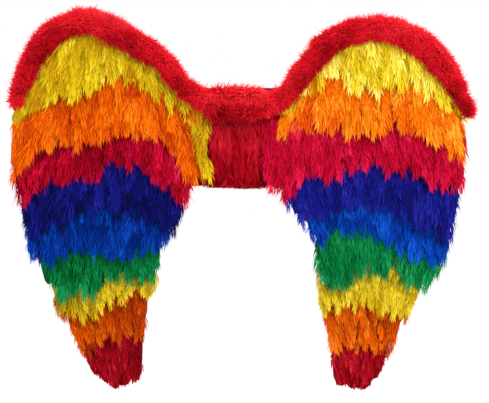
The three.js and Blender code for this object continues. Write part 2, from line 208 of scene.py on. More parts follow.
@dataclass(frozen=True)
class Down:
    """Dyed down: a run of shades from the darkest feather to the brightest, with painted shade that darkens
    every strand towards its root.
    """

    name: str
    slot: str
    shades: tuple[tuple[int, int, int], ...]
    # Painted shade: how dark each strand is made at its root, rising to its full colour at root_reach along
    # it
    painted_root_shade: float = 0.34
    root_reach: float = 0.55
    roughness: float = 0.88
    specular: float = 0.06
    sheen: float = 0.06
    sheen_roughness: float = 0.5

    def material(self) -> bpy.types.Material:
        """The material, which reads its colour from the down map alone."""
        wiring = Wiring(self.name)
        along, shade = wiring.map(DOWN_MAP)
        last = len(self.shades) - 1
        stops = [(index / last, linear(*colour)) for index, colour in enumerate(self.shades)]
        # The painted root shade, which the mix multiplies into the dyed colour
        dark = (self.painted_root_shade,) * 3 + (1.0,)
        mixed = wiring.add(
            "Mix",
            {
                "Factor": 1.0,
                "A": wiring.ramp(shade, stops),
                "B": wiring.ramp(along, ((0.0, dark), (self.root_reach, WHITE))),
            },
            data_type="RGBA",
            blend_type="MULTIPLY",
        )
        return wiring.finished({
            "Base Color": mixed.outputs["Result"],
            "Roughness": self.roughness,
            "Specular IOR Level": self.specular,
            "Sheen Weight": self.sheen,
            "Sheen Roughness": self.sheen_roughness,
            "Sheen Tint": linear(*self.shades[-1]),
        })


@dataclass(frozen=True)
class Felt:
    """Pressed wool felt with a mottled colour and short loose fibres."""

    name: str
    colour: tuple[int, int, int]
    dark: tuple[int, int, int]
    mottle_scale: float = 55.0
    mottle_span: tuple[float, float] = (0.3, 0.7)
    fibre_scale: float = 900.0
    fibre_stretch: float = 0.35
    bump: float = 0.35
    bump_height: float = 0.0006
    roughness: float = 0.95
    specular: float = 0.04
    sheen: float = 0.05

    def material(self) -> bpy.types.Material:
        """The material, laid on the piece's own coordinates."""
        wiring = Wiring(self.name)
        place = wiring.add("TexCoord", {}).outputs["Object"]
        mottle = wiring.add(
            "TexNoise", {"Vector": place, "Scale": self.mottle_scale, "Detail": 6.0, "Roughness": 0.7}
        )
        tones = tuple(zip(self.mottle_span, (linear(*self.dark), linear(*self.colour))))
        along = wiring.add("Mapping", {"Vector": place, "Scale": (1.0, 1.0, self.fibre_stretch)})
        fibre = wiring.add(
            "TexNoise", {"Vector": along.outputs["Vector"], "Scale": self.fibre_scale, "Detail": 4.0}
        )
        return wiring.finished({
            "Base Color": wiring.ramp(mottle.outputs["Fac"], tones),
            "Roughness": self.roughness,
            "Specular IOR Level": self.specular,
            "Sheen Weight": self.sheen,
            "Sheen Tint": linear(*self.colour),
            "Normal": wiring.bump(fibre.outputs["Fac"], self.bump, self.bump_height),
        })


@dataclass(frozen=True)
class Webbing:
    """Woven elastic: fine ribs along its length, crossed by closer rows of weft, with painted shade in the
    grooves between them.
    """

    name: str
    colour: tuple[int, int, int]
    painted_groove_shade: tuple[int, int, int]
    ribs: int = 14
    wefts_per_metre: float = 620.0
    weft_share: float = 0.45
    bright: float = 0.9
    bump: float = 0.6
    bump_height: float = 0.0005
    roughness: float = 0.8
    specular: float = 0.12

    def material(self, length: float) -> bpy.types.Material:
        """The material, laid on a map that runs along the loop and across it.

        Args:
            length: Length of the loop, in metres.

        Returns:
            The new material.
        """
        wiring = Wiring(self.name)
        along, across = wiring.map("UVMap")

        def wave(share: bpy.types.NodeSocket, turns: float) -> bpy.types.NodeSocket:
            """A wave from 0 to 1 over the map.

            Args:
                share: The direction on the map that it runs along.
                turns: How often it repeats.

            Returns:
                The wave.
            """
            scaled = wiring.add("Math", {0: share, 1: 2 * math.pi * turns}, operation="MULTIPLY")
            sine = wiring.add("Math", {0: scaled.outputs[0]}, operation="SINE")
            half = wiring.add("Math", {0: sine.outputs[0], 1: 0.5, 2: 0.5}, operation="MULTIPLY_ADD")
            return half.outputs[0]

        ribs, wefts = wave(across, self.ribs), wave(along, length * self.wefts_per_metre)
        sums = {0: wefts, 1: self.weft_share, 2: ribs}
        weave = wiring.add("Math", sums, operation="MULTIPLY_ADD").outputs[0]
        # Painted shade: the weave's low places, between ribs and wefts, are coloured darker
        tones = ((0.0, linear(*self.painted_groove_shade)), (self.bright, linear(*self.colour)))
        return wiring.finished({
            "Base Color": wiring.ramp(weave, tones),
            "Roughness": self.roughness,
            "Specular IOR Level": self.specular,
            "Normal": wiring.bump(weave, self.bump, self.bump_height),
        })


RED_MARABOU = Down(
    "red marabou down",
    "red_marabou",
    ((150, 4, 16), (202, 14, 32), (232, 28, 46), (246, 46, 60), (250, 84, 92)),
    painted_root_shade=0.5,
)
CENTRE_PILE = Down(
    "deep red pile",
    "centre_pile",
    ((98, 0, 8), (132, 0, 15), (160, 2, 22), (188, 8, 32), (218, 36, 54)),
    painted_root_shade=0.55,
)
DYES: dict[str, Down] = {
    "yellow": Down(
        "yellow down",
        "yellow_feathers",
        ((196, 116, 2), (192, 152, 6), (222, 192, 18), (244, 220, 42), (255, 240, 118)),
        painted_root_shade=0.5,
    ),
    "orange": Down(
        "orange down",
        "orange_feathers",
        ((180, 46, 0), (214, 76, 0), (242, 110, 2), (252, 142, 16), (255, 190, 60)),
        painted_root_shade=0.45,
    ),
    "crimson": Down(
        "crimson down",
        "crimson_feathers",
        ((118, 0, 14), (158, 0, 26), (190, 4, 42), (214, 14, 64), (232, 44, 90)),
    ),
    "navy": Down(
        "navy down",
        "navy_feathers",
        ((5, 5, 50), (10, 12, 84), (18, 22, 122), (30, 34, 156), (62, 46, 166)),
    ),
    "blue": Down(
        "blue down",
        "blue_feathers",
        ((0, 16, 82), (0, 36, 122), (2, 58, 166), (8, 78, 198), (26, 102, 218)),
    ),
    "green": Down(
        "green down",
        "green_feathers",
        ((0, 62, 24), (0, 92, 40), (4, 122, 58), (12, 144, 78), (54, 166, 104)),
    ),
    "gold": Down(
        "gold down",
        "gold_feathers",
        ((164, 116, 0), (192, 158, 12), (220, 192, 32), (236, 212, 56), (248, 230, 104)),
        painted_root_shade=0.45,
    ),
    "amber": Down(
        "amber down",
        "amber_feathers",
        ((140, 34, 0), (176, 56, 0), (206, 80, 0), (226, 102, 4), (244, 134, 30)),
    ),
    "ruby": Down(
        "ruby down",
        "ruby_feathers",
        ((92, 0, 8), (126, 0, 14), (156, 4, 22), (182, 12, 34), (216, 48, 62)),
    ),
}
RED_FELT = Felt("dull red felt", (122, 10, 22), (84, 4, 13))
BLACK_ELASTIC = Webbing("black woven elastic", (26, 26, 29), (5, 5, 6))
RED_THREAD = Felt("red thread", (188, 40, 54), (140, 18, 32), fibre_scale=2500.0)
BLACK_THREAD = Felt("black thread", (84, 84, 92), (44, 44, 50), fibre_scale=2500.0)


# Strands and plumes


def unit(vectors: np.ndarray) -> np.ndarray:
    """The vectors at a length of 1."""
    return vectors / np.maximum(np.linalg.norm(vectors, axis=-1, keepdims=True), 1e-9)


def squared_to(vectors: np.ndarray, axis: np.ndarray) -> np.ndarray:
    """The vectors turned square to unit axes, at a length of 1."""
    return unit(vectors - (vectors * axis).sum(-1, keepdims=True) * axis)


def varied(width: float, count: int, rng: np.random.Generator) -> np.ndarray:
    """Widths from three quarters of the usual one to five quarters of it."""
    return width * (0.75 + 0.5 * rng.random(count))


@dataclass(frozen=True)
class StrandForm:
    """The form that every strand copies: places along it, across it and through it, and its triangles."""

    along: np.ndarray
    across: np.ndarray
    through: np.ndarray
    faces: np.ndarray

    @staticmethod
    def made(broadest: float = 0.45, ridge: float = 0.3) -> "StrandForm":
        """A flat blade with a point at both ends and a low ridge where it is broadest.

        Args:
            broadest: Share of the length at which it is broadest.
            ridge: Height of the ridge, as a share of half the width.

        Returns:
            The form.
        """
        mesh = bmesh.new()
        corners = ((0, 0, 0), (-1, ridge, broadest), (1, ridge, broadest), (0, 0, 1))
        for corner in corners:
            mesh.verts.new(corner)
        bmesh.ops.convex_hull(mesh, input=mesh.verts)
        bmesh.ops.recalc_face_normals(mesh, faces=mesh.faces)
        mesh.verts.index_update()
        places = np.array([vert.co for vert in mesh.verts])
        faces = np.array([[vert.index for vert in face.verts] for face in mesh.faces])
        mesh.free()
        return StrandForm(places[:, 2], places[:, 0], places[:, 1], faces)


@dataclass
class Curves:
    """Many short curves from root through bend to tip, with the way each one's face looks, and its shade."""

    root: np.ndarray
    bend: np.ndarray
    tip: np.ndarray
    face: np.ndarray
    width: np.ndarray
    shade: np.ndarray

    def at(self, share: np.ndarray) -> np.ndarray:
        """Places on the curves.

        Args:
            share: Shares of the length, one row for each curve.

        Returns:
            A place for each share.
        """
        t = share[..., None]
        root, bend, tip = self.root[:, None], self.bend[:, None], self.tip[:, None]
        return (1 - t) ** 2 * root + 2 * t * (1 - t) * bend + t**2 * tip

    def ahead(self, share: np.ndarray) -> np.ndarray:
        """Unit directions of the curves.

        Args:
            share: Shares of the length, one row for each curve.

        Returns:
            A direction for each share.
        """
        t = share[..., None]
        root, bend, tip = self.root[:, None], self.bend[:, None], self.tip[:, None]
        return unit((1 - t) * (bend - root) + t * (tip - bend))

    @staticmethod
    def joined(groups: Sequence["Curves"]) -> "Curves":
        """All the curves of several groups as one.

        Args:
            groups: The groups.

        Returns:
            The one group.
        """
        names = ("root", "bend", "tip", "face", "width", "shade")
        return Curves(*(np.concatenate([getattr(group, name) for group in groups]) for name in names))


@dataclass(frozen=True)
class Plume:
    """One kind of fluffy feather: a shaft with barbs that sweep back along it."""

    barbs: int = 48
    length: float = 0.044
    bare: float = 0.22
    barbed_to: float = 0.93
    barb_length: float = 0.019
    length_spread: float = 0.2
    taper: float = 0.55
    barb_width: float = 0.00046
    sweep_root: float = 27.0
    sweep_tip: float = 10.0
    sweep_spread: float = 0.3
    curl: tuple[float, float] = (1.3, 0.85)
    fray: float = 0.07
    roll: float = 16.0
    lift: float = 5.0
    shade_spread: float = 0.08
    painted_tip_light: float = 0.1
    quill_light: float = 0.08

    def barbs_on(self, shafts: Curves, rng: np.random.Generator) -> Curves:
        """The barbs of many plumes, with each shaft as one strand more.

        Args:
            shafts: The shafts, whose width is the plume's size as a share of the usual one.
            rng: The random numbers.

        Returns:
            The strands.
        """
        count = len(shafts.root)
        shape = (count, self.barbs)
        steps = (np.arange(self.barbs) + rng.random(shape)) / self.barbs
        share = self.bare + (self.barbed_to - self.bare) * steps
        root = shafts.at(share)
        ahead = shafts.ahead(share)
        face = squared_to(np.broadcast_to(shafts.face[:, None], root.shape), ahead)
        hand = np.where(np.arange(self.barbs) % 2 == 0, 1.0, -1.0)[:, None]
        beside = hand * np.cross(ahead, face)
        roll = np.radians(self.lift + self.roll * rng.standard_normal(shape))[..., None]
        out = np.cos(roll) * beside + np.sin(roll) * face
        broad_face = np.cos(roll) * face - np.sin(roll) * beside
        sweep = np.radians(self.sweep_root + (self.sweep_tip - self.sweep_root) * share)
        sweep = sweep * (1 + self.sweep_spread * rng.standard_normal(shape))
        size = shafts.width[:, None] * (1 - self.taper * share**2)
        spread = 1 + self.length_spread * rng.standard_normal(shape)
        length = (self.barb_length * size * spread)[..., None]

        def turned(angle: np.ndarray) -> np.ndarray:
            """The direction at an angle out from the shaft."""
            return np.cos(angle)[..., None] * ahead + np.sin(angle)[..., None] * out

        bend = root + 0.5 * length * turned(self.curl[0] * sweep)
        frayed = self.fray * rng.standard_normal((*shape, 3))
        tip = root + length * (turned(self.curl[1] * sweep) + frayed)
        shade = shafts.shade[:, None] + self.shade_spread * rng.standard_normal(shape)
        # Painted light: barbs are made lighter the nearer they grow to the plume's tip, and darker near its
        # root
        shade = shade + self.painted_tip_light * (share - 0.5)
        total = count * self.barbs
        barbs = Curves(
            root.reshape(-1, 3),
            bend.reshape(-1, 3),
            tip.reshape(-1, 3),
            broad_face.reshape(-1, 3),
            varied(self.barb_width, total, rng),
            shade.reshape(-1),
        )
        thin, light = np.full(count, self.barb_width), shafts.shade + self.quill_light
        return Curves.joined([barbs, replace(shafts, width=thin, shade=light)])


@dataclass
class Surface:
    """Points, triangles, a place on the down map for each corner, and whether each triangle is smooth."""

    points: np.ndarray
    faces: np.ndarray
    corners: np.ndarray
    smooth: np.ndarray

    SHADE_MARGIN: ClassVar[float] = 0.03
    STRAND_SPAN: ClassVar[float] = 0.012

    @classmethod
    def of_strands(cls, strands: Curves, form: StrandForm) -> "Surface":
        """The surface of many strands, each a bent copy of one form.

        Args:
            strands: The strands.
            form: The form that is copied.

        Returns:
            The surface.
        """
        count, size = len(strands.root), len(form.along)
        along = np.broadcast_to(form.along, (count, size))
        chord = unit(strands.tip - strands.root)
        face = squared_to(strands.face, chord)
        across = np.cross(face, chord)
        aside = form.across[None, :, None] * across[:, None] + form.through[None, :, None] * face[:, None]
        points = strands.at(along) + strands.width[:, None, None] * aside
        faces = np.broadcast_to(form.faces, (count, *form.faces.shape)).copy()
        corner = (points - strands.root[:, None])[:, form.faces]
        volume = (corner[:, :, 0] * np.cross(corner[:, :, 1], corner[:, :, 2])).sum((1, 2))
        faces[volume < 0] = faces[volume < 0][:, :, ::-1]
        faces = (faces + size * np.arange(count)[:, None, None]).reshape(-1, 3)
        shade = np.clip(strands.shade, 0, 1)[:, None] + cls.STRAND_SPAN * form.across[None]
        shade = cls.SHADE_MARGIN + (1 - 2 * cls.SHADE_MARGIN) * shade
        places = np.stack([np.clip(along, 0.01, 0.99), np.clip(shade, 0.0, 1.0)], axis=-1)
        corners = places.reshape(-1, 2)[faces]
        return cls(points.reshape(-1, 3), faces, corners, np.zeros(len(faces), dtype=bool))

    @classmethod
    def joined(cls, parts: Sequence["Surface"]) -> "Surface":
        """Several surfaces as one.

        Args:
            parts: The surfaces.

        Returns:
            The one surface.
        """
        offsets = np.cumsum([0] + [len(part.points) for part in parts[:-1]])
        faces = [part.faces + offset for part, offset in zip(parts, offsets)]
        return cls(
            np.concatenate([part.points for part in parts]),
            np.concatenate(faces),
            np.concatenate([part.corners for part in parts]),
            np.concatenate([part.smooth for part in parts]),
        )

    def mesh(self, name: str) -> bpy.types.Mesh:
        """The Blender mesh.

        Args:
            name: Its name.

        Returns:
            The mesh, with its down map.
        """
        mesh = bpy.data.meshes.new(name)
        mesh.vertices.add(len(self.points))
        mesh.vertices.foreach_set("co", self.points.astype(np.float32).ravel())
        mesh.loops.add(self.faces.size)
        mesh.loops.foreach_set("vertex_index", self.faces.astype(np.int32).ravel())
        mesh.polygons.add(len(self.faces))
        mesh.polygons.foreach_set("loop_start", np.arange(0, self.faces.size, 3, dtype=np.int32))
        mesh.polygons.foreach_set("use_smooth", self.smooth)
        mesh.update(calc_edges=True)
        layer = mesh.uv_layers.new(name=DOWN_MAP)
        layer.data.foreach_set("uv", self.corners.astype(np.float32).ravel())
        mesh.validate()
        return mesh


# What is read from the frame


@dataclass
class Relief:
    """A node's front and rear, read over its XZ rectangle by rays along Y."""

    xs: np.ndarray
    zs: np.ndarray
    solid: np.ndarray
    front: np.ndarray
    rear: np.ndarray

    @staticmethod
    @lru_cache(maxsize=None)
    def of_node(name: str, step: float = 0.003) -> "Relief":
        """Reads a node.

        Args:
            name: The node.
            step: Spacing of the rays.

        Returns:
            Its relief, with the depths beyond its outline carried on from the nearest that are known.
        """
        low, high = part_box(name)
        tree = tree_of(name)
        xs = np.arange(low.x + step / 2, high.x, step)
        zs = np.arange(low.z + step / 2, high.z, step)
        front = np.full((len(xs), len(zs)), np.nan)
        rear = front.copy()
        for i, x in enumerate(xs):
            for j, z in enumerate(zs):
                near = tree.ray_cast(Vector((x, low.y - 1, z)), Vector((0, 1, 0)))[0]
                if near is None:
                    continue
                front[i, j] = near.y
                far = tree.ray_cast(Vector((x, high.y + 1, z)), Vector((0, -1, 0)))[0]
                rear[i, j] = far.y if far is not None else near.y
        filled = np.flatnonzero(~np.isnan(front).all(1))
        used = slice(filled[0], filled[-1] + 1)
        xs, front, rear = xs[used], front[used], rear[used]
        return Relief(xs, zs, ~np.isnan(front), carried_on(front), carried_on(rear))

    def depth(self, places: np.ndarray, share: np.ndarray) -> np.ndarray:
        """Depths between the rear and the front.

        Args:
            places: X and Z of each place.
            share: 0 at the rear and 1 at the front, for each.

        Returns:
            Y at each place.
        """
        i, j = self.cells(places[:, 0], places[:, 1])
        i, j = np.clip(i, 0, len(self.xs) - 1), np.clip(j, 0, len(self.zs) - 1)
        return self.rear[i, j] + share * (self.front[i, j] - self.rear[i, j])

    def cells(self, x: np.ndarray, z: np.ndarray) -> tuple[np.ndarray, np.ndarray]:
        """The cells of the grid that places fall in, which may lie outside it.

        Args:
            x: X of each place.
            z: Z of each place.

        Returns:
            The columns and the rows.
        """
        step = self.xs[1] - self.xs[0]
        columns = np.floor((x - self.xs[0]) / step + 0.5).astype(int)
        return columns, np.floor((z - self.zs[0]) / step + 0.5).astype(int)

    def holds(self, x: np.ndarray, z: np.ndarray) -> np.ndarray:
        """Whether the solid lies at each place, seen along Y.

        Args:
            x: X of each place.
            z: Z of each place.

        Returns:
            True where it does.
        """
        i, j = self.cells(x, z)
        within = (i >= 0) & (i < len(self.xs)) & (j >= 0) & (j < len(self.zs))
        return within & self.solid[np.clip(i, 0, len(self.xs) - 1), np.clip(j, 0, len(self.zs) - 1)]

    def ends(self, x: np.ndarray, reach: float) -> tuple[np.ndarray, np.ndarray, np.ndarray]:
        """How high and how low the solid reaches.

        Args:
            x: X of each place.
            reach: Length to each side over which the lower edge is evened out.

        Returns:
            The highest Z, the lowest Z and the mean of the lowest Z within the reach, for each place.
        """
        step = self.xs[1] - self.xs[0]
        tops = np.array([self.zs[np.flatnonzero(column)[-1]] for column in self.solid])
        bottoms = np.array([self.zs[np.flatnonzero(column)[0]] for column in self.solid])
        i = np.clip(self.cells(x, x)[0], 0, len(self.xs) - 1)
        spread = round(reach / step)
        near = np.clip(i[:, None] + np.arange(-spread, spread + 1), 0, len(self.xs) - 1)
        return tops[i], bottoms[i], bottoms[near].mean(1)


def carried_on(grid: np.ndarray) -> np.ndarray:
    """A grid whose gaps are filled from their nearest neighbours, step by step.

    Args:
        grid: The grid, with no number where nothing is known.

    Returns:
        The filled grid.
    """
    filled = grid.copy()
    while np.isnan(filled).any():
        padded = np.pad(filled, 1, constant_values=np.nan)
        around = np.stack([padded[:-2, 1:-1], padded[2:, 1:-1], padded[1:-1, :-2], padded[1:-1, 2:]])
        known = ~np.isnan(around)
        total = np.where(known, around, 0).sum(0)
        number = known.sum(0)
        gap = np.isnan(filled) & (number > 0)
        filled[gap] = total[gap] / number[gap]
    return filled


def tree_of(name: str) -> BVHTree:
    """A search tree over a node's triangles.

    Args:
        name: The node.

    Returns:
        The tree.
    """
    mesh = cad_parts[name].data
    mesh.calc_loop_triangles()
    corners = [tuple(triangle.vertices) for triangle in mesh.loop_triangles]
    return BVHTree.FromPolygons([vertex.co.copy() for vertex in mesh.vertices], corners)


def merged_copy(name: str) -> bmesh.types.BMesh:
    """A node's mesh with its loose triangles joined up.

    Args:
        name: The node.

    Returns:
        The new mesh, which the caller frees.
    """
    mesh = bmesh.new()
    mesh.from_mesh(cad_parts[name].data)
    bmesh.ops.remove_doubles(mesh, verts=mesh.verts, dist=1e-5)
    return mesh


def underlayer(name: str, rounds: int, sunk: float, shade: float) -> Surface:
    """The closed layer of short down under a node's strands: its own form, softened so that no edge shows.

    Args:
        name: The node.
        rounds: How often its form is smoothed.
        sunk: How far it lies below the node's own skin.
        shade: Its place among the shades.

    Returns:
        The surface, coloured with the painted shade of the roots.
    """
    mesh = merged_copy(name)
    for _ in range(rounds):
        bmesh.ops.smooth_vert(
            mesh, verts=mesh.verts, factor=0.5, use_axis_x=True, use_axis_y=True, use_axis_z=True
        )
    bmesh.ops.triangulate(mesh, faces=mesh.faces)
    mesh.normal_update()
    points = np.array([vert.co - sunk * vert.normal for vert in mesh.verts])
    faces = np.array([[vert.index for vert in face.verts] for face in mesh.faces])
    mesh.free()
    # Places near the root end of the down map, where the down's painted root shade darkens the layer
    corners = np.empty((len(faces), 3, 2))
    corners[:] = np.array([[0.1, shade], [0.16, shade], [0.13, shade + 0.04]])
    return Surface(points, faces, corners, np.ones(len(faces), dtype=bool))


# Downy pieces


@dataclass
class DownyPiece:
    """A piece covered with down, which stands for one node."""

    name: str
    node: str
    finish: Down
    covers: tuple[str, ...] = ()
    shade_spread: float = 0.17
    smoothing: int = 3
    sunk: float = 0.0
    under_shade: float = 0.3
    seed: int = 0
    form: StrandForm = field(default_factory=StrandForm.made)

    def build(self) -> bpy.types.Object:
        """Makes the piece and sets it in the place of its node.

        Returns:
            The piece.
        """
        strands = self.strands(np.random.default_rng(SEED + self.seed))
        under = underlayer(self.node, self.smoothing, self.sunk, self.under_shade)
        under.points = self.eased(under.points)
        layers = [under, Surface.of_strands(strands, self.form)]
        mesh = Surface.joined(layers).mesh(self.name)
        mesh.materials.append(self.finish.material())
        return placed(self.name, mesh, self.finish.slot, self.node)

    def eased(self, points: np.ndarray) -> np.ndarray:
        """The points of the layer under the strands, moved to where the strands hide it."""
        return points

    def strands(self, rng: np.random.Generator) -> Curves:
        """The strands of the piece's down."""
        raise NotImplementedError


def drift(places: np.ndarray, rng: np.random.Generator, wavelengths: Sequence[float]) -> np.ndarray:
    """A value from about -1 to 1 that changes slowly from place to place.

    Args:
        places: The places.
        rng: The random numbers.
        wavelengths: Lengths of the waves that it is made of.

    Returns:
        A value for each place.
    """
    total = np.zeros(len(places))
    for wavelength in wavelengths:
        towards = unit(rng.standard_normal(3))
        phase = 2 * math.pi * rng.random()
        total += np.sin(2 * math.pi * (places @ towards) / wavelength + phase)
    return total / math.sqrt(len(wavelengths))


@dataclass
class FeatherRow(DownyPiece):
    """A row of hanging plumes, laid in courses from its root down to its tips."""

    plume: Plume = Plume()
    leans: tuple[float, float] = (0.0, 0.0)
    outline: tuple[str, ...] = ()
    across: float = 0.0065
    stagger: float = 0.25
    scatter: float = 0.3
    down: float = 0.0098
    first: float = 0.003
    tuck: float = 0.013
    margins: tuple[float, float] = (0.003, 0.003)
    above: float = 0.007
    cover: float = 0.015
    rise: float = 0.01
    under_rise: float = 0.0
    most_raised: float = 0.8
    fill: float = 0.008
    slope: float = 0.21
    # Lighter or darker for the whole row: it holds the wing's painted side shade together with the row's own
    # tone
    tone: float = 0.0
    middle_shade: float = 0.48
    lift: float = 0.0024
    lift_spread: float = 0.0018
    raised_share: float = 0.05
    hanging_lift: float = 0.3
    size_spread: float = 0.13
    lean_drift: float = 0.1
    lean_spread: float = 0.08
    depths: tuple[float, float, float] = (0.3, 0.9, 0.95)
    bend_lift: float = 0.7
    bend_spread: float = 0.04
    face_spread: float = 0.18
    patch_share: float = 0.6
    shade_limit: float = 1.8
    stragglers: float = 0.3
    straggle: float = 0.012
    loose: tuple[float, float] = (0.45, 0.2)
    dips: tuple[float, float] = (0.0, 0.0)
    dip_reach: float = 0.03

    # Wavelengths of the slow changes in the plumes' lean and shade
    LEAN_WAVES: ClassVar[tuple[float, ...]] = (0.1, 0.06, 0.035)
    SHADE_WAVES: ClassVar[tuple[float, ...]] = (0.09, 0.05, 0.028)
    # Roots outside the outline are pulled in and down, in steps that leave a plume a share of its drop
    PULLS: ClassVar[int] = 14
    PULL_IN: ClassVar[float] = 0.0015
    PULL_DOWN: ClassVar[float] = 0.002
    LEAST_DROP: ClassVar[float] = 0.3

    def strands(self, rng: np.random.Generator) -> Curves:
        """The barbs and shafts of the row's plumes, all in front of the board.

        Args:
            rng: The random numbers.

        Returns:
            The strands.
        """
        barbs = self.plume.barbs_on(self.shafts(rng), rng)
        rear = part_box(self.node)[1].y
        for place in (barbs.root, barbs.bend, barbs.tip):
            place[:, 1] = np.minimum(place[:, 1], rear)
        return barbs

    def eased(self, points: np.ndarray) -> np.ndarray:
        """Draws the layer under the plumes up from its lower edge, so that plumes alone end the row.

        Args:
            points: The layer's points.

        Returns:
            The moved points.
        """
        tops, bottoms, means = Relief.of_node(self.node).ends(points[:, 0], self.fill)
        height = np.maximum(tops - bottoms, 1e-4)
        share = np.clip((tops - points[:, 2]) / height, 0, 1)
        raised = share * np.clip(means + self.rise + self.under_rise - bottoms, 0, self.most_raised * height)
        return points + raised[:, None] * np.array([0.0, self.slope, 1.0])

    def inside(self, x: np.ndarray, z: np.ndarray) -> np.ndarray:
        """Whether places lie within the outline that the row belongs to, seen along Y."""
        return np.any([Relief.of_node(node).holds(x, z) for node in self.outline], axis=0)

    def tips(self, rng: np.random.Generator) -> np.ndarray:
        """Where the plumes end: in courses down the row, with a few that hang lower than the rest.

        Args:
            rng: The random numbers.

        Returns:
            X, Z and how far it hangs below the row, for each plume that shows.
        """
        relief = Relief.of_node(self.node)
        low, high = relief.xs[0] + self.margins[0], relief.xs[-1] - self.margins[1]
        columns = np.linspace(low, high, max(2, round((high - low) / self.across)) + 1)
        tops, _, means = relief.ends(columns, self.fill)
        dips = [
            dip * np.clip(1 - abs(columns - end) / self.dip_reach, 0, 1)
            for dip, end in zip(self.dips, (relief.xs[0], relief.xs[-1]))
        ]
        ends = means + self.rise - sum(dips)
        tips = []
        for index, (x, top, end) in enumerate(zip(columns, tops, ends)):
            start = top - self.first
            courses = max(1, round((start - end) / self.down))
            for course in range(courses + 1):
                stagger = (self.stagger if (index + course) % 2 else -self.stagger) * self.across
                loose = self.loose[course == courses] * self.down
                z = start + (end - start) * course / courses + loose * rng.standard_normal()
                tips.append((x + stagger, z, 0.0))
            if rng.random() < self.stragglers:
                extra = self.straggle * rng.uniform(0.25, 1)
                tips.append((x, end - extra, extra))
        x, z, below = np.array(tips).T
        x = x + self.scatter * self.across * rng.standard_normal(len(x))
        covers = [Relief.of_node(cover) for cover in self.covers]
        hidden = np.any([cover.holds(x, z) & cover.holds(x, z - self.tuck) for cover in covers], axis=0)
        above = z + self.above
        compact = self.inside(x - self.margins[0], above) & self.inside(x + self.margins[1], above)
        return np.stack([x, z, below], axis=-1)[compact & ~hidden]

    def shafts(self, rng: np.random.Generator) -> Curves:
        """Shafts that each come from deep in the row to its face.

        Args:
            rng: The random numbers.

        Returns:
            The shafts.
        """
        relief = Relief.of_node(self.node)
        x, z, below = self.tips(rng).T
        count = len(x)
        low, high = relief.xs[0], relief.xs[-1]
        place = np.stack([x, np.zeros(count), z], axis=-1)
        size = 1 + self.size_spread * rng.standard_normal(count)
        share = (x - low) / (high - low)
        lean = self.leans[0] + (self.leans[1] - self.leans[0]) * share
        sway = self.lean_drift * drift(place, rng, self.LEAN_WAVES)
        lean += sway + self.lean_spread * rng.standard_normal(count)
        length = self.plume.length * size
        drop = length / np.sqrt(1 + lean**2)
        root_x, root_z = x - lean * drop, z + drop
        middle = (low + high) / 2
        for _ in range(self.PULLS):
            outside = ~self.inside(root_x, root_z + self.cover)
            root_x = np.where(outside, root_x + self.PULL_IN * np.sign(middle - root_x), root_x)
            lower = np.maximum(root_z - self.PULL_DOWN, z + self.LEAST_DROP * drop)
            root_z = np.where(outside, lower, root_z)
        lift = self.lift + self.lift_spread * rng.standard_normal(count)
        raised = rng.random(count) < self.raised_share
        lift = np.where(raised, lift + 2 * self.lift_spread, lift) + self.hanging_lift * below

        def lifted(x: np.ndarray, z: np.ndarray, deep: float, out: np.ndarray) -> np.ndarray:
            """Places in the row.

            Args:
                x: X of each place.
                z: Z of each place.
                deep: Share of the row's thickness, 0 at its rear and 1 at its face.
                out: How far each place stands out from there.

            Returns:
                The places.
            """
            y = relief.depth(np.stack([x, z], axis=-1), np.full(count, deep)) - out
            return np.stack([x, y, z], axis=-1)

        root = lifted(root_x, root_z, self.depths[0], np.zeros(count))
        bend = lifted((x + root_x) / 2, (z + root_z) / 2, self.depths[1], self.bend_lift * lift)
        bend[:, 0] += self.bend_spread * length * rng.standard_normal(count)
        tip = lifted(x, z, self.depths[2], lift)
        face = np.tile([0.0, -1.0, 0.0], (count, 1)) + self.face_spread * rng.standard_normal((count, 3))
        patch = drift(place, rng, self.SHADE_WAVES)
        shade = np.full(count, self.middle_shade + self.tone)
        single = np.clip(rng.standard_normal(count), -self.shade_limit, self.shade_limit)
        shade += self.shade_spread * (self.patch_share * patch + single)
        return Curves(root, bend, tip, face, size, shade)


